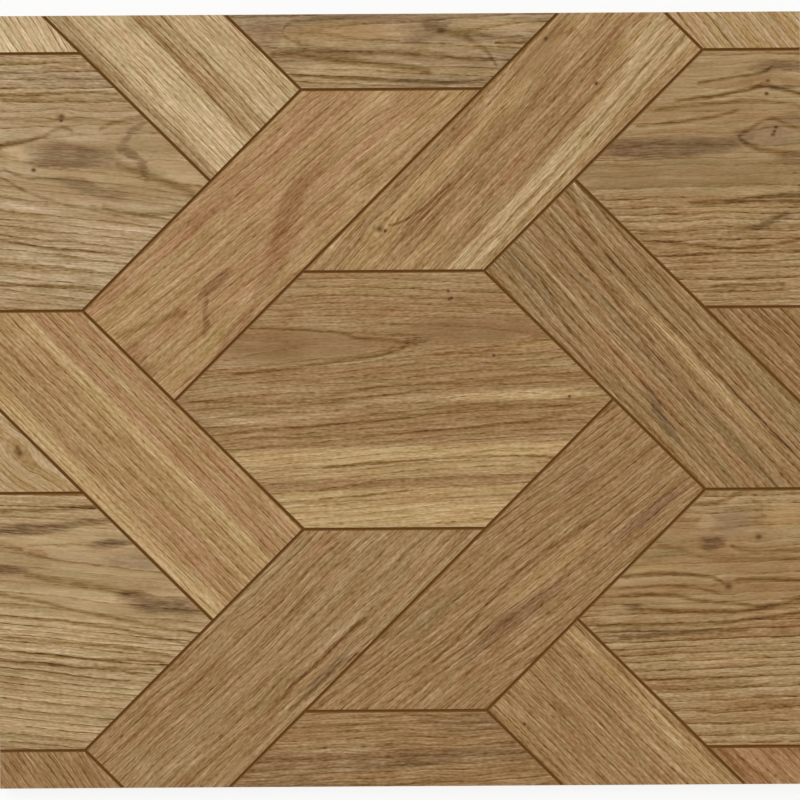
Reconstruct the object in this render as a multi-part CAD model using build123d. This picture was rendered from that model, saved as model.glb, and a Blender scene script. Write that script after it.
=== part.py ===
from build123d import *
import os
from math import ceil, sqrt

# Hexagon parquet tile: solid oak hexagons set in a basket weave of oak planks, sawn to a rectangle.
# Millimetres, +Z up. The underside lies on Z = 0, with the origin under the middle of the tile.

# Driving dimensions
TILE_WIDTH = 500.0  # along X, about one repeat of the pattern
TILE_DEPTH = 480.0  # along Y
TILE_THICKNESS = 15.0
PLANK_WIDTH = 80.0
HEXAGON_HEIGHT = 160.0  # between the hexagon's two level sides
JOINT_BEVEL = 1.0  # leg of the 45 degree bevel on each side of a joint
PATTERN_SHIFT = -3.7  # the middle hexagon's centre from the tile's centre, along X

# Words for the steps from the middle block outwards
UP = ["middle", "upper", "top"]
DOWN = ["middle", "lower", "bottom"]
LEFT = ["centre", "left"]
RIGHT = ["centre", "right"]

# Every joint is level or at 45 degrees, so the weave follows from the plank and the hexagon
half_level_side = PLANK_WIDTH / sqrt(2)
half_height = HEXAGON_HEIGHT / 2
half_width = half_level_side + half_height
column_step = half_height + 3 * half_level_side
row_step = half_height + half_level_side
plank_short_side = HEXAGON_HEIGHT / sqrt(2) + PLANK_WIDTH
plank_long_side = plank_short_side + PLANK_WIDTH


def bevelled_block(*outline):
    """A full block of the tile's thickness, bevelled round its upper face."""
    block = extrude(Polygon(*outline, align=None), TILE_THICKNESS)
    return chamfer(block.faces().sort_by(Axis.Z)[-1].edges(), JOINT_BEVEL)


def step_word(step, words):
    """The word for a step from the middle. Steps past the last word are numbered from it."""
    last = len(words) - 1
    if step <= last:
        return words[step]
    return f"{words[last]}_{step - last + 1}"


def place_name(column, row):
    """Where a block lies in the tile, as words."""
    row_word = step_word(abs(row), UP if row >= 0 else DOWN)
    column_word = step_word(abs(column), RIGHT if column >= 0 else LEFT)
    return f"{row_word}_{column_word}"


def hexagon_block():
    """A hexagon with two level sides and four sides at 45 degrees."""
    return bevelled_block(
        (half_width, 0),
        (half_level_side, half_height),
        (-half_level_side, half_height),
        (-half_width, 0),
        (-half_level_side, -half_height),
        (half_level_side, -half_height),
    )


def plank_block():
    """A plank along X from its square end to its 45 degree end, with its long side on the X axis."""
    return bevelled_block(
        (0, 0),
        (plank_long_side, 0),
        (plank_short_side, PLANK_WIDTH),
        (0, PLANK_WIDTH),
    )


def plank_pair(plank, slope):
    """Two planks side by side between two hexagons, rising to the right for a slope of 1."""
    turn = 90 - slope * 45
    upward = Pos(-slope * half_width, -row_step) * Rot(Z=turn) * plank
    return upward, Rot(Z=180) * upward


def laid_blocks():
    """Each block of the endless pattern near the tile, by name, before the tile is sawn."""
    hexagon = hexagon_block()
    rising_pair = plank_pair(plank_block(), 1)
    falling_pair = plank_pair(mirror(plank_block(), Plane.XZ), -1)
    columns = ceil(TILE_WIDTH / 2 / column_step) + 1
    rows = ceil(TILE_DEPTH / 2 / row_step) + 1
    for column in range(-columns, columns + 1):
        for row in range(-rows, rows + 1):
            place = Pos(PATTERN_SHIFT + column * column_step, row * row_step)
            name = place_name(column, row)
            if (column + row) % 2 == 0:
                yield f"hexagon_{name}", place * hexagon
                continue
            lower_plank, upper_plank = falling_pair if column % 2 else rising_pair
            yield f"plank_{name}_a", place * lower_plank
            yield f"plank_{name}_b", place * upper_plank


# Saw the laid blocks to the tile's rectangle
tile = extrude(Rectangle(TILE_WIDTH, TILE_DEPTH), TILE_THICKNESS)
os.makedirs("parts", exist_ok=True)
for name, block in laid_blocks():
    sawn = block & tile
    if sawn.volume > 0:
        export_step(sawn, f"parts/{name}.step")
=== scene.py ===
from dataclasses import dataclass
from math import cos, radians, sin

import bpy
from mathutils import Matrix, Vector


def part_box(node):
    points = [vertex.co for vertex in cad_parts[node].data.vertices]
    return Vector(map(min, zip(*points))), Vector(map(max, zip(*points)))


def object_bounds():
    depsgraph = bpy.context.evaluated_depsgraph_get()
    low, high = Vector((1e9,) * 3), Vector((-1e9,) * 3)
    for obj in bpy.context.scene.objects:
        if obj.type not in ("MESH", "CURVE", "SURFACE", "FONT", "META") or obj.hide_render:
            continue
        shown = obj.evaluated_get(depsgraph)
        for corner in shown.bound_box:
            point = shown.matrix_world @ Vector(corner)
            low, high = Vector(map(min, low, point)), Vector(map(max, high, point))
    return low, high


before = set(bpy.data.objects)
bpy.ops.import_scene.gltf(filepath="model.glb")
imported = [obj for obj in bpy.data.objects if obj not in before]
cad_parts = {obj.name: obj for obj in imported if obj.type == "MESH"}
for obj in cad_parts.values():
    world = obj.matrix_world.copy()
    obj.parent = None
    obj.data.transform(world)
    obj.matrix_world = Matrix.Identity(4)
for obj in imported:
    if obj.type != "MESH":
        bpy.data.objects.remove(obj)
cad_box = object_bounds()

# Sizes, in millimetres unless a name says otherwise
METRE = 1000.0
TILE_TOP = cad_box[1].z * METRE
JOINT_BEVEL = 1.0

# Camera: the photograph's pixels and one pixel's size, a small zoom, the roll in degrees and a long lens
FRAME_PIXELS = 800
PHOTO_PIXEL = 0.6226
FRAME_ZOOM = 1.002
PHOTO_ROLL = 0.35
LENS = 200.0
SENSOR = 36.0
CLIP_METRES = 50.0

# Tones are mixed as the eye sees them, and one gamma node then turns them into light
EYE_GAMMA = 2.2
FULL_LEVEL = 255.0

# Share of the grain's levels in red, green and blue, a little more in blue to undo the pale sheen
GRAIN_TINT = (1.03, 1.05, 1.18)

# Length along the grain and width across it of one cell of each noise
RIPPLE_CELL = (26.0, 7.0)
RAGGED_CELL = (7.0, 2.0)
SWELL_CELL = (55.0, 14.0)
CLOUD_CELL = (200.0, 11.0)
SPECK_CELL = (10.0, 1.1)
BREAK_CELL = (24.0, 1.6)
SMUDGE_CELL = (34.0, 8.0)
STREAK_CELL = (65.0, 1.6)
FIBRE_CELL = (13.0, 0.85)
GRIT_CELL = (3.0, 1.0)
PORE_CELL = (5.0, 0.8)
BLUSH_CELL = (40.0, 8.0)
WANDER_WIDTH = 40.0
UNEVEN_RADIUS = 18.0

# How far two of the noises move the grain, and the edges of patches
RIPPLE_ACROSS = 0.4
RAGGED_ACROSS = 0.35
PATCH_RIPPLE_ACROSS = 0.9
PATCH_RIPPLE_ALONG = 3.0
PATCH_RAGGED_ALONG = 2.0

# How far three of the noises move the rings, in rings
UNEVEN_RINGS = 0.7
SWELL_RINGS = 0.15
RAGGED_RINGS = 0.05

# Levels of the grit, the share of the fine grain left in a calm patch, and the share of a knot's tone
GRIT_LEVELS = 11.0
CALM_GRAIN = 0.25
MARK_SHARE = 0.9

# Surface of the oak, and of the raw underside
ROUGHNESS = 0.5
PORE_ROUGHNESS = 0.15
RAW_ROUGHNESS = 0.25
RAW_SHARE = 0.35
SPECULAR_LEVEL = 0.25
BUMP_STRENGTH = 0.3
BUMP_METRES = 0.0003

# Step between the blocks' random seeds
SEED_STEP = 7.3

# Light levels: the sky and the sun together light a level surface by 1, so a colour renders as written
SKY_LIGHT = 0.5
SUN_LIGHT = 1.65
SUN_ANGLE = 50.0
SUN_FROM = Vector((-0.5, 0.45, 1.0))
WHITE = (1.0, 1.0, 1.0, 1.0)

# The floor, in metres. The gap keeps its face and the tile's from flickering through each other
FLOOR_SIZE = 30.0
FLOOR_GAP = 0.0002
FLOOR_TONE = (0.9, 0.9, 0.9, 1.0)
FLOOR_ROUGHNESS = 0.9
FLOOR_GLOW = 0.85

# Veins lie within this distance of a block's centre line
CURVE_REACH = 100.0

# Levels of a vein from its middle out to this many half widths, where it has faded past its pale rim
VEIN_REACH = 4.0
VEIN_PROFILE = ((0.0, -80.0), (0.2, -45.0), (0.36, -6.0), (0.52, 9.0), (0.75, 4.0), (1.0, 0.0))


def level(red, green, blue):
    """A tone written in levels from 0 to 255."""
    return red / FULL_LEVEL, green / FULL_LEVEL, blue / FULL_LEVEL, 1.0


# Oak tones
CREAM = level(208, 182, 142)
PALE = level(188, 159, 117)
ASH = level(186, 161, 126)
STRAW = level(185, 154, 107)
GOLD = level(168, 134, 88)
TAN = level(161, 132, 92)
BROWN = level(148, 114, 73)
UMBER = level(138, 104, 66)
OLIVE = level(142, 114, 74)
PINK = level(163, 122, 83)
RUST = level(141, 101, 61)
GREY = level(140, 114, 83)
SMOKE = level(110, 83, 51)
PLUM = level(124, 90, 58)
CHESTNUT = level(124, 85, 47)
BARK = level(54, 22, 2)
KNOT = level(80, 55, 22)
BLUSH = level(255, 249, 246)
MOSS = level(251, 253, 247)
# The V joint's stain at its top edge, and at the bottom of the V, where it is darker by painted shade
JOINT_EDGE = level(118, 82, 40)
JOINT_BOTTOM = level(108, 72, 32)


@dataclass
class Band:
    """A streak of another tone along the grain, at a distance across it from the block's centre."""
    across: float
    half_width: float
    tone: tuple
    amount: float


@dataclass
class Patch:
    """A soft spot of another tone at a place in the block, with half its length and half its width.

    Turn is its angle from the grain, and calm is how much of the fine grain it hides.
    With an amount of 0 it only calms.
    """
    along: float
    across: float
    length: float
    width: float
    tone: tuple
    amount: float
    turn: float = 0.0
    calm: float = 0.0


@dataclass
class Vein:
    """A dark line of the figure through places in the block, with half its width.

    A pale line has an amount below 0.
    """
    places: tuple
    width: float = 0.9
    amount: float = 0.6


@dataclass
class Knot:
    """A small knot at a place in the block, with an eye of spread grain round it.

    Swing is how far the knot pushes the grain to one side.
    """
    along: float
    across: float
    radius: float
    eye: float = 8.0
    spread: float = 0.8
    swing: float = 0.0


@dataclass
class Pin:
    """A pin hole at a place in the block."""
    along: float
    across: float
    radius: float = 0.8


@dataclass
class Oak:
    """How one block was sawn from its log, and its tones. Contrasts are in levels of 255."""
    grain: float
    tone: tuple
    second: tuple
    mottle: float = 0.6
    heart: float = -160.0
    depth: float = 60.0
    taper: float = 0.0
    ring: float = 4.6
    lines: float = 20.0
    line_width: float = 0.4
    streaks: float = 13.0
    fibres: float = 15.0
    pores: float = 24.0
    smudges: float = 9.0
    shade: float = 14.0
    wave: float = 1.0
    wavelength: float = 110.0
    figure: tuple = ()


BLOCKS = {
    "hexagon_middle_centre": Oak(
        2, BROWN, TAN, heart=36, depth=10, taper=0.05, ring=4.4, lines=19, line_width=0.32,
        streaks=10, fibres=11, pores=26, wave=1.6, figure=(
            Band(-20, 7, BROWN, 0.5),
            Band(-34, 5.5, STRAW, 0.9),
            Band(-44, 4, STRAW, 0.6),
            Band(-52, 2.5, BROWN, 0.7),
            Band(-58, 3, STRAW, 0.8),
            Band(-73, 11, STRAW, 0.95),
            Patch(-60, 36, 60, 12, UMBER, 0.7, calm=0.8),
            Patch(50, 42, 50, 9, UMBER, 0.9, calm=0.7),
            Patch(80, 0, 55, 3.5, STRAW, 0.95),
            Patch(88, 31, 22, 3, GOLD, 0.8),
            Patch(-90, -11, 26, 1.6, PALE, 0.3),
            Patch(-20, 70, 40, 5, GOLD, 0.5),
            Vein(((-42, 44.5), (-30, 42.5), (-20, 39), (-5, 37.5), (12, 35)), 1.1, 0.45),
            Vein(((-105, 19), (-60, 22.5), (-30, 25.5), (-5, 28.5), (12, 34)), 0.9, 0.5),
            Vein(((-90, 47), (-60, 46), (-40, 44)), 0.8, 0.4),
            Vein(((-130, 4), (-70, 1.5), (-30, 5.5), (10, 10), (50, 7)), 0.9, 0.35),
            Vein(((10, 29), (40, 27.5), (64, 29)), 0.8, 0.35),
            Vein(((-50, -40.5), (0, -38.5), (60, -37), (120, -41)), 0.8, 0.8),
            Vein(((-122, -7.5), (-60, -9.5), (-10, -0.5), (50, 1), (126, 2.5)), 2.4, -0.18),
            Vein(((-118, -9), (-70, -3), (-10, 2.5), (30, 6.5), (110, 16)), 0.9, 0.25),
            Vein(((-104, -17), (-50, -14.5), (0, -11.5), (50, -7), (120, -8)), 0.9, 0.4),
            Vein(((-96, -21), (0, -20.5), (60, -18), (112, -12)), 0.9, 0.35),
            Vein(((-50, -60), (-20, -59), (8, -56)), 0.7, 0.5),
            Patch(14, 36, 9, 2, SMOKE, 0.47),
            Pin(36, 66.5), Pin(38, 62), Pin(36.5, 61.5), Pin(63, 25.5), Pin(109, -1.5),
        ),
    ),
    "hexagon_top_centre": Oak(
        0, TAN, GREY, mottle=0.8, heart=12, depth=8, taper=-0.04, ring=5.0, lines=46, line_width=0.3,
        streaks=10, shade=22, pores=40, figure=(
            Patch(0, 10, 100, 40, TAN, 0.0, calm=0.5),
            Patch(-82, 10, 12, 8, GREY, 0.7),
            Patch(-30, 12, 40, 6.5, GOLD, 0.75, calm=0.8),
            Patch(60, 17, 26, 4, PALE, 0.4),
            Patch(-30, -11, 48, 4, PALE, 0.6),
            Patch(26, 16, 9, 6, SMOKE, 0.9),
            Patch(16, 8, 7, 6, SMOKE, 0.45),
            Patch(-30, 22, 24, 1.8, SMOKE, 0.68),
            Vein(((-70, 12), (-66, 17), (-55, 19), (-30, 20)), 1.0, 0.4),
            Vein(((-70, 11.5), (-66, 8), (-58, 5.5)), 1.0, 0.35),
            Vein(((-62, 4), (-40, 0.5), (-20, -0.5), (0, 0), (18, -2.5)), 2.2, 0.45),
            Vein(((-80, -2), (-60, -2), (-40, -4.5), (-10, -8), (26, -13)), 2.0, 0.7),
            Vein(((14, 1), (35, -3), (46, -4.5), (62, -5)), 1.5, 0.4),
            Vein(((26, 13), (40, 10), (52, 4.5), (58, -0.5), (65, -11)), 1.8, 0.4),
            Vein(((62, 5.5), (72, 5), (84, 6)), 1.0, 0.9),
            Vein(((-68, -14), (-40, -16), (0, -18), (30, -19.5), (60, -17.5)), 1.1, 0.6),
        ),
    ),
    "hexagon_bottom_centre": Oak(
        2, BROWN, SMOKE, mottle=0.35, ring=4.4, wave=1.6, wavelength=70, figure=(
            Patch(20, -7, 45, 4, SMOKE, 0.35, turn=6),
            Patch(-40, 2, 30, 4, TAN, 0.5),
        ),
    ),
    "hexagon_upper_left": Oak(
        -3, TAN, ASH, heart=16, depth=14, taper=-0.06, ring=5.4, lines=42, line_width=0.3,
        streaks=9, shade=22, pores=34, figure=(
            Patch(0, 10, 90, 42, TAN, 0.0, calm=0.75),
            Patch(-30, 62, 50, 5, GREY, 0.6),
            Patch(-20, 14, 30, 9, SMOKE, 0.75),
            Patch(-28, 8.5, 22, 2.5, SMOKE, 0.68),
            Patch(15, 30, 12, 2.6, SMOKE, 0.6, turn=48),
            Patch(14, 18, 9, 3, SMOKE, 0.75, turn=-24),
            Patch(24, 8, 9, 3, SMOKE, 0.65, turn=-62),
            Patch(48, 8, 20, 9, PALE, 0.55, turn=-25, calm=0.9),
            Patch(-59, 12, 10, 6, PALE, 0.75, calm=0.9),
            Patch(-10, 3, 40, 3, PALE, 0.5, turn=-6, calm=0.6),
            Patch(-8, -6, 25, 4.5, SMOKE, 0.6, turn=-14),
            Vein(((5, 10), (20, 6.5), (40, 0.5), (58, -6.5)), 2.3, 0.5),
            Vein(((-2, -16), (15, -19), (30, -19.5), (50, -17)), 2.0, 0.6),
            Vein(((-65, 4.5), (-50, -1), (-40, -1), (-22, -0.5)), 0.9, 0.5),
            Vein(((-66, -1), (-50, -9), (-30, -15), (0, -20), (30, -26)), 0.9, 0.45),
            Vein(((-66, -17.5), (-40, -21), (-10, -26.5), (34, -31)), 1.8, -0.35),
            Vein(((-72, 16), (-55, 20.5), (-40, 25), (-28, 31), (-20, 28)), 1.4, 0.55),
            Vein(((-72, 34.5), (-40, 34.5), (-28, 36), (-10, 37), (5, 36.5), (24, 40)), 1.2, 0.35),
            Vein(((-6, 31), (8, 37.5), (24, 40.5)), 1.4, 0.4),
            Vein(((-72, 49), (-40, 51.5), (-20, 53.5), (8, 54)), 1.0, 0.7),
            Vein(((-66, -68.5), (-20, -67.5), (4, -68.5)), 0.9, 0.75),
            Vein(((-66, -40), (-30, -44), (0, -44.5), (24, -45.5)), 0.9, 0.55),
            Knot(-29, 38, 1.6, eye=10),
            Pin(-44.5, 4, 1.1), Pin(-29, 35.5),
        ),
    ),
    "hexagon_upper_right": Oak(
        1, TAN, BROWN, ring=5.4, lines=38, line_width=0.3, streaks=9, shade=22, pores=34,
        wave=1.4, wavelength=60, figure=(
            Patch(20, 40, 90, 60, TAN, 0.0, calm=0.75),
            Patch(58, 70, 18, 4, SMOKE, 0.75),
            Patch(66, 37, 14, 4, SMOKE, 0.5),
            Patch(66, 12, 16, 4, SMOKE, 0.6),
            Patch(35, 27, 8, 4, SMOKE, 0.9),
            Patch(60, -12, 22, 3, SMOKE, 0.4, turn=5),
            Patch(50, -27, 17, 4, SMOKE, 0.6, turn=20),
            Patch(60, 57, 10, 2, SMOKE, 0.95),
            Patch(-15, 26, 50, 6, OLIVE, 0.3),
            Patch(-20, 20, 42, 7.5, SMOKE, 1.0),
            Patch(15, 22, 22, 5, SMOKE, 0.9),
            Patch(52, 26, 20, 8, GREY, 0.7, calm=0.85),
            Patch(45, 45, 15, 4, TAN, 0.7, calm=0.7),
            Patch(0, 3, 90, 11, OLIVE, 0.8, calm=0.85),
            Patch(0, -8, 45, 3.5, TAN, 0.6, calm=0.7),
            Patch(-5, -20, 15, 3.5, RUST, 0.6),
            Patch(22, -20, 26, 4, GOLD, 0.5),
            Patch(66, -42, 10, 4, RUST, 0.35),
            Vein(((30, 26), (38, 31), (52, 37.5), (62, 33), (76, 29)), 1.4, 0.35),
            Vein(((30, 27), (36, 22), (46, 18), (58, 16), (76, 16)), 1.6, 0.55),
            Vein(((-10, 50), (15, 51.5), (35, 55), (50, 58), (60, 55), (76, 51.5)), 1.1, 0.9),
            Vein(((-20, -47), (10, -46.5), (40, -47), (72, -45)), 0.9, 0.25),
            Vein(((5, 60), (30, 64), (45, 66), (54, 70)), 1.0, 0.7),
            Vein(((-22, 44), (5, 47), (25, 48), (42, 49), (52, 48), (76, 44)), 1.1, 0.45),
            Vein(((-34, 34), (0, 37), (20, 39.5), (32, 43)), 1.0, 0.6),
            Vein(((-2, -14), (25, -13.5), (45, -11), (76, -9)), 1.4, 0.6),
            Vein(((20, -14), (45, -14), (76, -14.5)), 0.9, 0.6),
            Vein(((22, -32), (36, -31.5), (48, -27.5), (56, -23.5), (63, -20)), 1.5, 0.35),
            Vein(((-36, -32.5), (-10, -33), (20, -32)), 0.9, 0.4),
            Vein(((-32, -38), (-5, -39.5), (25, -42.5), (48, -41.5), (76, -36)), 1.1, 0.65),
            Vein(((10, -66), (35, -65.5), (60, -65.5)), 0.9, 0.6),
            Knot(50, 61, 1.1, eye=16, spread=0.4, swing=3.0),
            Knot(52.5, 27.5, 1.2, eye=12, spread=0.6),
            Pin(49, 53, 1.0), Pin(54.5, 32, 0.9), Pin(53.5, 29.5, 0.8),
        ),
    ),
    "hexagon_lower_left": Oak(
        -4, TAN, PALE, heart=40, depth=14, taper=-0.03, ring=4.8, lines=62, line_width=0.22,
        streaks=9, shade=24, pores=34, figure=(
            Patch(0, 30, 90, 40, TAN, 0.0, calm=0.75),
            Patch(-40, 45, 30, 4.5, PALE, 0.6, calm=0.8),
            Patch(0, 30, 38, 4, PALE, 0.55, calm=0.8),
            Patch(-5, 8, 20, 6, PALE, 0.5, calm=0.8),
            Patch(15, 37, 22, 4, GREY, 0.7),
            Patch(-45, 38, 10, 2, RUST, 0.8),
            Patch(-63, 27, 13, 3.4, SMOKE, 1.0),
            Patch(17, 16, 12, 3.6, SMOKE, 0.65),
            Patch(38, 11, 25, 5.2, SMOKE, 0.95),
            Patch(1, 48, 14, 3.4, SMOKE, 1.0, turn=9),
            Patch(-50, 53, 30, 4.2, SMOKE, 0.85, turn=8),
            Patch(-14, 60, 18, 2.6, SMOKE, 0.7, turn=6),
            Patch(-35, -60, 45, 12, PALE, 0.35),
            Vein(((-76, 62.5), (-50, 65), (-30, 67), (-8, 70)), 1.3, 0.6),
            Vein(((-76, 50), (-50, 53.5), (-30, 56), (-10, 59.5), (4, 59)), 1.8, 0.15),
            Vein(((-54, 24.5), (-30, 21.5), (-10, 20.5), (10, 18), (26, 17)), 2.0, 0.5),
            Vein(((-76, 12), (-50, 9.5), (-20, 5), (0, 2), (20, -0.5), (60, -4.5)), 1.1, 0.5),
            Vein(((-76, -3), (-40, -2.5), (0, -4.5), (54, -11.5)), 0.9, 0.6),
            Vein(((-76, -15), (-40, -16), (0, -16.5), (46, -19.5)), 1.0, 0.6),
            Vein(((-76, -22.5), (-40, -24), (0, -25), (20, -23.5), (42, -25)), 1.0, 0.75),
            Vein(((-76, -30), (-40, -30), (0, -30), (36, -29)), 1.0, 0.65),
        ),
    ),
    "hexagon_lower_right": Oak(
        2, BROWN, TAN, mottle=0.95, ring=5.2, lines=36, line_width=0.3,
        streaks=9, shade=26, pores=34, figure=(
            Patch(10, 35, 90, 42, TAN, 0.0, calm=0.75),
            Patch(28, 60, 13, 9, GREY, 0.6, calm=0.8),
            Patch(14, 61, 5.5, 6.5, PALE, 0.35, calm=0.9),
            Patch(62, 63, 13, 10, GOLD, 0.9, calm=0.85),
            Patch(-5, 60, 10, 6, RUST, 0.5),
            Patch(16, 48, 10, 5, KNOT, 0.68),
            Patch(-15, 41, 16, 4, OLIVE, 0.9),
            Patch(-20, 33, 24, 3.5, GOLD, 0.6, calm=0.7),
            Patch(-35, 8, 9, 3, KNOT, 0.6),
            Patch(-46, 5, 14, 4, TAN, 0.9, calm=0.7),
            Patch(-20, -8, 45, 3, SMOKE, 0.5),
            Patch(66, -4, 12, 6, RUST, 0.35),
            Patch(20, -24, 50, 3, GOLD, 0.5),
            Vein(((4, 72), (20, 72.5), (35, 78), (46, 80.5)), 1.2, 0.55),
            Patch(45, 68, 9, 2.2, RUST, 0.6, turn=-62),
            Vein(((-22, 48.5), (0, 42), (12, 38), (40, 37), (76, 34.5)), 1.6, 0.25),
            Vein(((26, 46), (36, 42), (60, 41.5), (76, 41)), 1.5, 0.45),
            Vein(((-44, 28), (-15, 29), (5, 27.5), (18, 25), (24, 21)), 1.1, 0.7),
            Vein(((28, 24), (45, 24), (60, 23), (76, 22)), 1.1, 0.55),
            Vein(((-52, 20.5), (-30, 21.5), (0, 20.5), (22, 15)), 1.0, 0.45),
            Vein(((-46, 16), (-15, 16), (10, 11.5), (30, 9), (50, 7), (76, 9.5)), 1.1, 0.6),
            Vein(((-28, 7.5), (0, 5.5), (20, 4), (40, 5), (55, 7.5), (76, 13)), 1.4, 0.6),
            Vein(((-62, -2), (-40, -2), (-10, -2.5), (20, -2.5), (40, -1), (76, 3)), 1.0, 0.75),
            Vein(((-46, -10), (0, -8), (40, -7)), 1.0, 0.5),
            Vein(((-30, -36.5), (0, -37), (40, -36)), 0.9, 0.3),
            Vein(((-24, -44), (10, -44), (50, -41.5)), 0.9, 0.5),
            Knot(45, 50, 1.7, eye=9, spread=0.5),
            Knot(25, 20, 1.9, eye=9, spread=0.6),
        ),
    ),
    "plank_top_left_a": Oak(
        -46, PALE, TAN, mottle=0.3, ring=3.2, lines=42, figure=(
            Band(-17.5, 4.5, TAN, 0.9),
            Band(0, 12, CREAM, 0.4),
            Band(19, 3.2, BROWN, 0.6),
            Band(28, 3, BROWN, 0.3),
            Vein(((-55, 16), (-20, 19), (10, 17.5), (50, 12.5)), 1.1, 0.4),
            Vein(((-10, 31), (20, 27.5), (52, 26.5)), 0.9, 0.25),
            Band(36, 7, CREAM, 0.25),
        ),
    ),
    "plank_top_left_b": Oak(-58, CREAM, PALE, ring=3.2, lines=48),
    "plank_top_right_b": Oak(-50, GOLD, ASH, ring=3.8, lines=36, fibres=13),
    "plank_upper_centre_a": Oak(
        40, GOLD, PINK, mottle=0.65, ring=5.0, lines=17, streaks=11, fibres=12, pores=18, wave=2.0,
        wavelength=80, smudges=12, figure=(
            Band(44, 4, PINK, 0.8),
            Band(36, 3, GOLD, 0.6),
            Patch(95, 30, 35, 4, STRAW, 0.55),
            Patch(100, 20, 18, 5, PINK, 0.6),
            Patch(15, 14, 34, 7, RUST, 1.0, turn=28),
            Patch(38, 21, 14, 4, RUST, 0.75),
            Vein(((-118, 23.5), (-100, 17.5), (-85, 12), (-72, 7)), 2.0, 0.4),
            Patch(-50, 9, 16, 3.6, CHESTNUT, 0.85, turn=4),
            Patch(-65, -2, 14, 2.4, CHESTNUT, 0.7, turn=50),
            Patch(-58, -22, 26, 3.5, RUST, 0.95, turn=14),
            Patch(-18, -9, 28, 5, RUST, 0.6, turn=20),
            Patch(-115, 4, 6, 14, RUST, 0.7),
        ),
    ),
    "plank_upper_centre_b": Oak(
        47, GOLD, BROWN, mottle=0.75, ring=5.0, lines=18, wave=1.4, smudges=12, figure=(
            Band(-35, 8.5, PALE, 0.8),
            Patch(105, -22, 32, 6, PALE, 0.85, turn=12),
            Patch(-60, 6, 42, 3.5, RUST, 0.9),
            Patch(-70, 1, 40, 2, RUST, 0.75),
            Patch(-15, 23, 15, 4, RUST, 0.75),
            Patch(42, 5, 28, 3, RUST, 0.75, turn=8),
            Patch(85, -8, 28, 4, RUST, 0.75, turn=14),
            Patch(0, -14, 70, 5, PINK, 0.5),
            Patch(60, 20, 22, 7, BROWN, 0.7, calm=0.7),
            Vein(((-72, -41), (0, -41), (60, -40), (130, -37)), 1.0, 0.7),
            Vein(((-70, -34), (0, -35), (60, -33.5), (128, -30)), 0.8, 0.6),
            Vein(((-88, 18.5), (-82, 14), (-74, 11), (-40, 7)), 0.9, 0.6),
            Patch(74, 19, 10, 1.4, RUST, 0.95, turn=-40),
            Knot(-92, 20, 1.5, eye=10, spread=0.9),
            Pin(-90.5, 16.5, 0.9), Pin(65, 25, 1.1), Pin(66, -17, 1.0),
        ),
    ),
    "plank_middle_left_a": Oak(
        -45, GOLD, PINK, mottle=0.35, ring=4.2, lines=22, figure=(
            Band(31, 4, PINK, 0.6),
            Band(16, 4, PINK, 0.6),
            Band(8, 4, STRAW, 0.8),
            Band(-36, 5, STRAW, 0.9),
            Patch(-80, -5, 28, 5, PINK, 0.6),
            Patch(60, -18, 48, 9, PINK, 0.7),
            Patch(-60, -26, 40, 3, BROWN, 0.7),
        ),
    ),
    "plank_middle_left_b": Oak(
        -40, GOLD, ASH, ring=5.0, lines=16, fibres=12, wave=2.4, wavelength=40, figure=(
            Knot(-8, -10.5, 1.8, eye=15, spread=0.9),
        ),
    ),
    "plank_middle_right_a": Oak(-45, BROWN, UMBER, lines=25, shade=22, figure=(
        Patch(18.5, 3, 14, 3, RUST, 0.5),
    )),
    "plank_middle_right_b": Oak(
        -47, BROWN, OLIVE, ring=4.6, shade=24, wave=1.6, figure=(
            Band(31, 5, OLIVE, 0.5),
            Patch(30, 12, 80, 2.8, STRAW, 0.8),
            Band(-4, 2.2, SMOKE, 0.3),
            Patch(10, -20, 42, 5, PINK, 0.4),
            Patch(42, -25, 22, 4, SMOKE, 0.8, turn=-14),
            Patch(-75, -27, 32, 4, SMOKE, 0.47),
            Patch(-50, -35, 40, 2.5, TAN, 0.3),
            Vein(((-100, 33.5), (-88, 29.5), (-72, 26), (-50, 21.5)), 1.2, -0.3),
            Vein(((-100, 26), (-90, 25), (-78, 19), (-60, 17)), 1.1, 0.35),
            Vein(((-98, 9.5), (-70, 7), (-40, 3), (10, 1.5)), 0.9, 0.65),
            Vein(((-98, -14), (-60, -16), (-20, -15), (10, -16)), 1.2, -0.35),
            Vein(((-75, -21), (-60, -24.5), (-48, -28), (-30, -32)), 1.0, 0.35),
            Vein(((-60, 17), (0, 16.5), (60, 17), (118, 17.5)), 1.0, 0.6),
            Vein(((-100, 35), (-40, 32), (20, 28.5), (80, 24.5)), 0.9, 0.35),
        ),
    ),
    "plank_lower_centre_a": Oak(
        43, BROWN, TAN, ring=4.8, wave=2.2, wavelength=60, figure=(
            Patch(60, 36, 26, 4, PINK, 0.5),
            Patch(12, -25, 22, 3.5, SMOKE, 0.6),
            Vein(((-35, -18.5), (-10, -17), (15, -16), (40, -15.5), (65, -15)), 1.0, 0.6),
            Vein(((-22, -26), (0, -27), (20, -27), (38, -29.5)), 1.2, 0.5),
            Vein(((0, -4), (30, -4.5), (60, -2.5), (92, -6.5)), 1.0, 0.25),
            Vein(((-80, 12.5), (-40, 14), (0, 15), (50, 20)), 0.9, 0.25),
            Patch(-70, -30, 12, 4, TAN, 0.3, calm=0.7),
            Patch(100, -5, 30, 5, TAN, 0.6),
        ),
    ),
    "plank_lower_centre_b": Oak(
        38, BROWN, TAN, mottle=0.15, ring=4.8, wave=2.0, wavelength=90, figure=(
            Patch(20, -25, 42, 6, GOLD, 0.8),
            Patch(-55, 0, 26, 7, OLIVE, 0.9),
            Patch(-20, -35, 48, 6, PLUM, 0.65),
            Patch(65, 8, 17, 6, UMBER, 0.9),
            Patch(90, -35, 30, 5, PLUM, 0.9),
            Vein(((-100, -25), (-60, -23.5), (-20, -16.5), (10, -13.5), (60, -17.5)), 1.0, 0.5),
        ),
    ),
    "plank_bottom_left_a": Oak(-55, BROWN, RUST, mottle=0.15, lines=17, fibres=13, pores=20),
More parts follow.
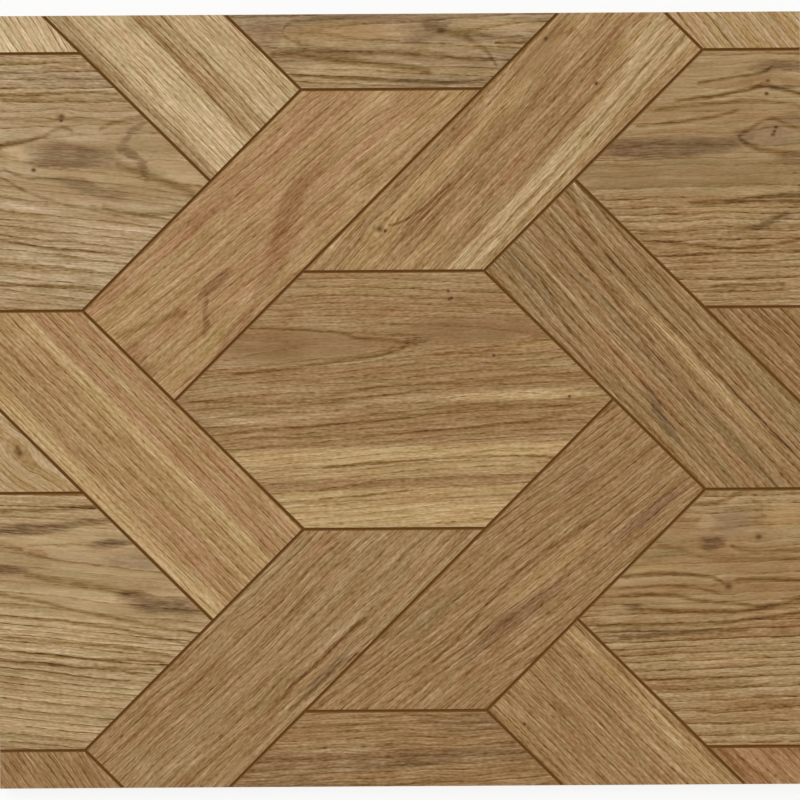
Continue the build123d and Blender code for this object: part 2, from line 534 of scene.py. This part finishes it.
    "plank_bottom_right_a": Oak(-45, PINK, RUST, mottle=1.0, lines=20, fibres=12, pores=26),
    "plank_bottom_right_b": Oak(-45, BROWN, GOLD, mottle=0.4, ring=3.8, figure=(
        Band(12, 4, STRAW, 0.55),
        Patch(45, -1, 35, 1.6, STRAW, 0.75),
        Pin(-30, -48.5),
    )),
}


class Field:
    """A number that varies over a surface: a node's output, with plain sums written as nodes."""

    def __init__(self, nodes, socket):
        self.nodes = nodes
        self.socket = socket

    def __add__(self, other):
        return self.nodes.math("ADD", self, other)

    def __sub__(self, other):
        return self.nodes.math("SUBTRACT", self, other)

    def __mul__(self, other):
        return self.nodes.math("MULTIPLY", self, other)

    def __truediv__(self, other):
        return self.nodes.math("DIVIDE", self, other)

    def power(self, other):
        return self.nodes.math("POWER", self, other)

    def fraction(self):
        return self.nodes.math("FRACT", self)

    def floor(self):
        return self.nodes.math("FLOOR", self)

    def step(self, start, end):
        """0 before start and 1 after end, with a smooth rise, or fall where end comes first."""
        return self.nodes.map_range(self, start, end)


class Nodes:
    """Short calls that add nodes to a material. Each returns a Field, or a colour socket."""

    def __init__(self, tree):
        self.tree = tree

    def new(self, kind, **settings):
        node = self.tree.nodes.new(kind)
        for name, value in settings.items():
            setattr(node, name, value)
        return node

    def feed(self, socket, value):
        if isinstance(value, Field):
            value = value.socket
        if isinstance(value, bpy.types.NodeSocket):
            self.tree.links.new(value, socket)
        else:
            socket.default_value = value

    def math(self, operation, *values):
        node = self.new("ShaderNodeMath", operation=operation)
        for socket, value in zip(node.inputs, values):
            self.feed(socket, value)
        return Field(self, node.outputs[0])

    def map_range(self, value, start, end):
        node = self.new("ShaderNodeMapRange", interpolation_type="SMOOTHSTEP")
        self.feed(node.inputs["Value"], value)
        low, high = (0.0, 1.0) if start < end else (1.0, 0.0)
        node.inputs["From Min"].default_value = min(start, end)
        node.inputs["From Max"].default_value = max(start, end)
        node.inputs["To Min"].default_value = low
        node.inputs["To Max"].default_value = high
        return Field(self, node.outputs["Result"])

    def vector(self, x, y, z):
        node = self.new("ShaderNodeCombineXYZ")
        for socket, value in zip(node.inputs, (x, y, z)):
            self.feed(socket, value)
        return node.outputs[0]

    def split(self, socket):
        node = self.new("ShaderNodeSeparateXYZ")
        self.feed(node.inputs[0], socket)
        return [Field(self, output) for output in node.outputs]

    def noise(self, x, y, z, detail=1.0, roughness=0.5):
        """Soft noise around 0.5, one cell long where each coordinate grows by 1."""
        node = self.new("ShaderNodeTexNoise", noise_dimensions="3D")
        self.feed(node.inputs["Vector"], self.vector(x, y, z))
        node.inputs["Scale"].default_value = 1.0
        node.inputs["Detail"].default_value = detail
        node.inputs["Roughness"].default_value = roughness
        return Field(self, node.outputs[0])

    def swing(self, x, y, z, detail=1.0, roughness=0.5):
        """Noise that swings to about 1 on both sides of 0."""
        return (self.noise(x, y, z, detail, roughness) - 0.5) * 4.0

    def chance(self, value):
        """A random number from 0 to 1, the same wherever the value is the same."""
        node = self.new("ShaderNodeTexWhiteNoise", noise_dimensions="1D")
        self.feed(node.inputs["W"], value)
        return Field(self, node.outputs["Value"])

    def curve(self, value, places):
        """A smooth curve through places from 0 to 1, each with its result in millimetres."""
        node = self.new("ShaderNodeFloatCurve")
        node.mapping.extend = "HORIZONTAL"
        shares = [(at, (result + CURVE_REACH) / (2 * CURVE_REACH)) for at, result in places]
        points = node.mapping.curves[0].points
        points[0].location = shares[0]
        points[1].location = shares[-1]
        for at, share in shares[1:-1]:
            points.new(at, share)
        node.mapping.update()
        self.feed(node.inputs["Value"], value)
        return self.math("MULTIPLY_ADD", node.outputs[0], 2 * CURVE_REACH, -CURVE_REACH)

    def oval(self, place, patch):
        """The distance from a patch's middle, 1 at its edge."""
        node = self.new("ShaderNodeMapping", vector_type="TEXTURE")
        self.feed(node.inputs["Vector"], place)
        node.inputs["Location"].default_value = (patch.along, patch.across, 0.0)
        node.inputs["Rotation"].default_value = (0.0, 0.0, radians(patch.turn))
        node.inputs["Scale"].default_value = (patch.length, patch.width, 1.0)
        distance = self.new("ShaderNodeVectorMath", operation="LENGTH")
        self.feed(distance.inputs[0], node.outputs[0])
        return Field(self, distance.outputs["Value"])

    def mix(self, share, first, second, blend="MIX"):
        node = self.new("ShaderNodeMix", data_type="RGBA", blend_type=blend, clamp_result=True)
        self.feed(node.inputs["Factor"], share)
        self.feed(node.inputs[6], first)
        self.feed(node.inputs[7], second)
        return node.outputs[2]

    def shifted(self, tone, amount, tint):
        """A tone with an amount added to it, in shares of red, green and blue."""
        node = self.new("ShaderNodeVectorMath", operation="MULTIPLY_ADD")
        self.feed(node.inputs[0], amount)
        node.inputs[1].default_value = tint
        self.feed(node.inputs[2], tone)
        return node.outputs[0]

    def light(self, tone):
        """A tone as the light that a surface sends back."""
        node = self.new("ShaderNodeGamma")
        self.feed(node.inputs["Color"], tone)
        node.inputs["Gamma"].default_value = EYE_GAMMA
        return node.outputs[0]


def grain_place(block, centre, x, y):
    """A place on the tile as distances along and across a block's grain, from its centre.

    The figure was measured in the photograph, which shows the tile a little rolled.
    """
    turn = radians(block.grain - PHOTO_ROLL)
    centre = Matrix.Rotation(radians(-PHOTO_ROLL), 3, "Z") @ centre
    along = (x - centre.x) * cos(turn) + (y - centre.y) * sin(turn)
    across = (y - centre.y) * cos(turn) - (x - centre.x) * sin(turn)
    return along, across


def cells(along, across, under, cell, seed):
    """A place counted in cells of a noise, moved along the grain by a seed."""
    length, width = cell
    return along / length + seed, across / width, under / width


def bell(along, across, length, width):
    """1 in the middle of an oval and near 0 past its edge."""
    reach = (along / length).power(2.0) + (across / width).power(2.0)
    return along.nodes.math("EXPONENT", reach * -1.0)


def vein_depth(nodes, along, across, vein):
    """The levels that a vein takes off or, at its rims, adds."""
    (first, _), (last, _) = vein.places[0], vein.places[-1]
    way = nodes.math("MULTIPLY_ADD", along, 1 / (last - first), -first / (last - first))
    middle = nodes.curve(way, [((at - first) / (last - first), aside) for at, aside in vein.places])
    aside = nodes.math("ABSOLUTE", across - middle) / (vein.width * VEIN_REACH)
    ends = nodes.math("ABSOLUTE", way * 2.0 - 1.0).step(1.0, 0.9)
    return nodes.curve(aside, VEIN_PROFILE) * ends


def figure_of(block, kind):
    """The parts of one kind in a block's figure."""
    return [part for part in block.figure if isinstance(part, kind)]


def oak_material(name, block, seed):
    """The solid oak of one block, with its growth rings, pores and fibres in all directions."""
    material = bpy.data.materials.new(f"oak_{name}")
    material.use_nodes = True
    tree = material.node_tree
    shader = tree.nodes["Principled BSDF"]
    nodes = Nodes(tree)

    low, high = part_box(name)
    centre = (low + high) / 2 * METRE
    place = nodes.new("ShaderNodeTexCoord").outputs["Object"]
    x, y, z = (part * METRE for part in nodes.split(place))
    along, straight = grain_place(block, centre, x, y)
    under = z - TILE_TOP

    # The grain wanders a little, and spreads round each knot
    wander_cell = (block.wavelength, WANDER_WIDTH)
    wander = nodes.swing(*cells(along, straight, under, wander_cell, seed))
    ripple = nodes.swing(*cells(along, straight, under, RIPPLE_CELL, -seed))
    ragged = nodes.swing(*cells(along, straight, under, RAGGED_CELL, seed))
    across = straight + wander * block.wave + ripple * RIPPLE_ACROSS
    for knot in figure_of(block, Knot):
        aside = straight - knot.across
        eye = bell(along - knot.along, aside, knot.eye, knot.eye * 0.6)
        across = across - eye * (aside * knot.spread + knot.swing)

    # Growth rings are cones round the log's heart
    height = under * -1.0 + block.depth
    radius = ((across - block.heart).power(2.0) + height.power(2.0)).power(0.5) + along * block.taper
    uneven = nodes.swing(radius / UNEVEN_RADIUS + seed, 0.3, 0.7)
    swell = nodes.swing(*cells(along, across, under, SWELL_CELL, -seed))
    rings = radius / block.ring + uneven * UNEVEN_RINGS + swell * SWELL_RINGS + ragged * RAGGED_RINGS
    phase = rings.fraction()
    ring_share = nodes.chance(rings.floor() + seed)
    early = phase.step(block.line_width, 0.06) * phase.step(0.0, 0.06)

    # Wide tones, then the block's own bands and patches
    cloud = nodes.noise(*cells(along, across, under, CLOUD_CELL, seed), detail=2.0)
    tone = nodes.mix(cloud.step(0.38, 0.62) * block.mottle, block.tone, block.second)
    drawn = straight + ripple * RIPPLE_ACROSS + ragged * RAGGED_ACROSS
    spot_along = along + ragged * PATCH_RAGGED_ALONG + ripple * PATCH_RIPPLE_ALONG
    spot = nodes.vector(spot_along, drawn + ripple * PATCH_RIPPLE_ACROSS, 0.0)
    for band in figure_of(block, Band):
        share = nodes.math("ABSOLUTE", drawn - band.across).step(band.half_width * 1.3, band.half_width * 0.6)
        tone = nodes.mix(share * band.amount, tone, band.tone)
    speck = nodes.noise(*cells(along, straight, under, SPECK_CELL, -seed)).step(0.38, 0.58)
    calm = 0.0
    for patch in figure_of(block, Patch):
        share = nodes.oval(spot, patch).step(1.25, 0.5)
        if patch.calm:
            calm = nodes.math("MAXIMUM", calm, share * patch.calm)
        else:
            share = share * (speck * 0.45 + 0.6)
        tone = nodes.mix(share * patch.amount, tone, patch.tone)
    lively = nodes.math("SUBTRACT", 1.0, calm)

    # Ring lines and veins
    broken = nodes.noise(*cells(along, across, under, BREAK_CELL, seed))
    worn = broken.step(0.34, 0.58) * 0.8 + 0.2
    line = early * (ring_share * 0.7 + 0.3) * worn
    veins = 0.0
    for vein in figure_of(block, Vein):
        veins = nodes.math("MULTIPLY_ADD", vein_depth(nodes, along, drawn, vein), vein.amount, veins)

    # Smudges, streaks, fibres, grit and pores
    smudge = nodes.swing(*cells(along, across, under, SMUDGE_CELL, -seed), detail=2.0, roughness=0.6)
    streak = nodes.swing(*cells(along, across, under, STREAK_CELL, -seed))
    fibre = nodes.swing(*cells(along, across, under, FIBRE_CELL, seed), detail=0.0)
    grit = nodes.swing(*cells(along, across, under, GRIT_CELL, seed), detail=0.0)
    pore = nodes.noise(*cells(along, across, under, PORE_CELL, -seed), detail=0.0)
    pore = pore.step(0.56, 0.68) * (early * 0.75 + 0.25)
    fine = streak * block.streaks + fibre * block.fibres + grit * GRIT_LEVELS + phase * block.shade
    fine = fine - block.shade / 2 - pore * block.pores - line * block.lines
    kept = lively * (1.0 - CALM_GRAIN) + CALM_GRAIN
    relief = fine * kept + smudge * block.smudges + (speck * 0.5 + 0.5) * veins
    tone = nodes.shifted(tone, relief / FULL_LEVEL, GRAIN_TINT)
    blush = nodes.noise(*cells(along, across, under, BLUSH_CELL, seed))
    tone = nodes.mix(blush.step(0.45, 0.7), tone, BLUSH, "MULTIPLY")
    tone = nodes.mix(blush.step(0.55, 0.3), tone, MOSS, "MULTIPLY")

    # Knots and pin holes
    for mark in figure_of(block, Knot) + figure_of(block, Pin):
        near = bell(along - mark.along, straight - mark.across, mark.radius * 1.2, mark.radius)
        tone = nodes.mix(near * MARK_SHARE, tone, BARK if isinstance(mark, Pin) else KNOT)

    # Stained V joint on the bevelled edges, with painted shade darkening it towards the bottom of the V, and
    # raw oak underneath
    normal = nodes.new("ShaderNodeNewGeometry").outputs["True Normal"]
    facing = nodes.split(normal)[2]
    bevelled = facing.step(0.3, 0.5) * facing.step(0.95, 0.85)
    # Painted shade: the joint's stain darkens from the top edge to the bottom of the V
    painted_shade_depth = (under / -JOINT_BEVEL).step(-0.1, 0.9)
    stain_and_painted_shade = nodes.mix(painted_shade_depth, JOINT_EDGE, JOINT_BOTTOM)
    tone = nodes.mix(bevelled, tone, stain_and_painted_shade)
    raw = facing.step(-0.3, -0.6)
    tone = nodes.mix(raw * RAW_SHARE, tone, PALE)

    nodes.feed(shader.inputs["Base Color"], nodes.light(tone))
    nodes.feed(shader.inputs["Roughness"], pore * PORE_ROUGHNESS + raw * RAW_ROUGHNESS + ROUGHNESS)
    shader.inputs["Specular IOR Level"].default_value = SPECULAR_LEVEL
    bump = nodes.new("ShaderNodeBump")
    bump.inputs["Strength"].default_value = BUMP_STRENGTH
    bump.inputs["Distance"].default_value = BUMP_METRES
    nodes.feed(bump.inputs["Height"], fibre * 0.5 - pore)
    nodes.feed(shader.inputs["Normal"], bump.outputs[0])
    return material


for number, (name, block) in enumerate(BLOCKS.items()):
    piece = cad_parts[name]
    piece.data.materials.clear()
    piece.data.materials.append(oak_material(name, block, SEED_STEP * (number + 1)))


def seen_directly(nodes):
    """1 for light that goes straight to the camera, or to it by a mirror or through glass."""
    path = nodes.new("ShaderNodeLightPath").outputs
    seen = nodes.math("MAXIMUM", path["Is Camera Ray"], path["Is Glossy Ray"])
    return nodes.math("MAXIMUM", seen, path["Is Transmission Ray"])


def make_floor():
    """A plain white floor that shows white to the camera and keeps the tile's soft shadow."""
    bpy.ops.mesh.primitive_plane_add(size=FLOOR_SIZE, location=(0, 0, -FLOOR_GAP))
    floor = bpy.context.object
    floor.name = "floor"
    material = bpy.data.materials.new("floor")
    material.use_nodes = True
    nodes = Nodes(material.node_tree)
    shader = material.node_tree.nodes["Principled BSDF"]
    shader.inputs["Base Color"].default_value = FLOOR_TONE
    shader.inputs["Roughness"].default_value = FLOOR_ROUGHNESS
    shader.inputs["Specular IOR Level"].default_value = 0.0
    glow = nodes.new("ShaderNodeEmission").outputs[0]
    white = nodes.new("ShaderNodeMixShader")
    nodes.feed(white.inputs[0], seen_directly(nodes) * FLOOR_GLOW)
    nodes.feed(white.inputs[1], shader.outputs[0])
    nodes.feed(white.inputs[2], glow)
    nodes.feed(material.node_tree.nodes["Material Output"].inputs["Surface"], white.outputs[0])
    floor.data.materials.append(material)


def make_light():
    """An even sky that shows white, with one wide soft sun from the upper left."""
    world = bpy.data.worlds.new("studio")
    bpy.context.scene.world = world
    world.use_nodes = True
    nodes = Nodes(world.node_tree)
    background = world.node_tree.nodes["Background"]
    background.inputs["Color"].default_value = WHITE
    nodes.feed(background.inputs["Strength"], seen_directly(nodes) * (1.0 - SKY_LIGHT) + SKY_LIGHT)
    lamp = bpy.data.lights.new("sun", "SUN")
    lamp.energy = SUN_LIGHT
    lamp.angle = radians(SUN_ANGLE)
    sun = bpy.data.objects.new("sun", lamp)
    sun.rotation_euler = SUN_FROM.to_track_quat("Z", "Y").to_euler()
    bpy.context.scene.collection.objects.link(sun)


def make_camera():
    """A long lens straight above the tile, framed and rolled like the photograph."""
    lens = bpy.data.cameras.new("camera")
    lens.lens = LENS
    lens.sensor_width = SENSOR
    camera = bpy.data.objects.new("camera", lens)
    view_width = FRAME_PIXELS * PHOTO_PIXEL / FRAME_ZOOM
    height = TILE_TOP + view_width * LENS / SENSOR
    camera.location = Vector((0, 0, height / METRE))
    camera.rotation_euler = (0, 0, radians(-PHOTO_ROLL))
    lens.clip_end = CLIP_METRES
    bpy.context.scene.collection.objects.link(camera)
    bpy.context.scene.camera = camera


make_floor()
make_light()
make_camera()
bpy.context.scene.view_settings.view_transform = "Standard"
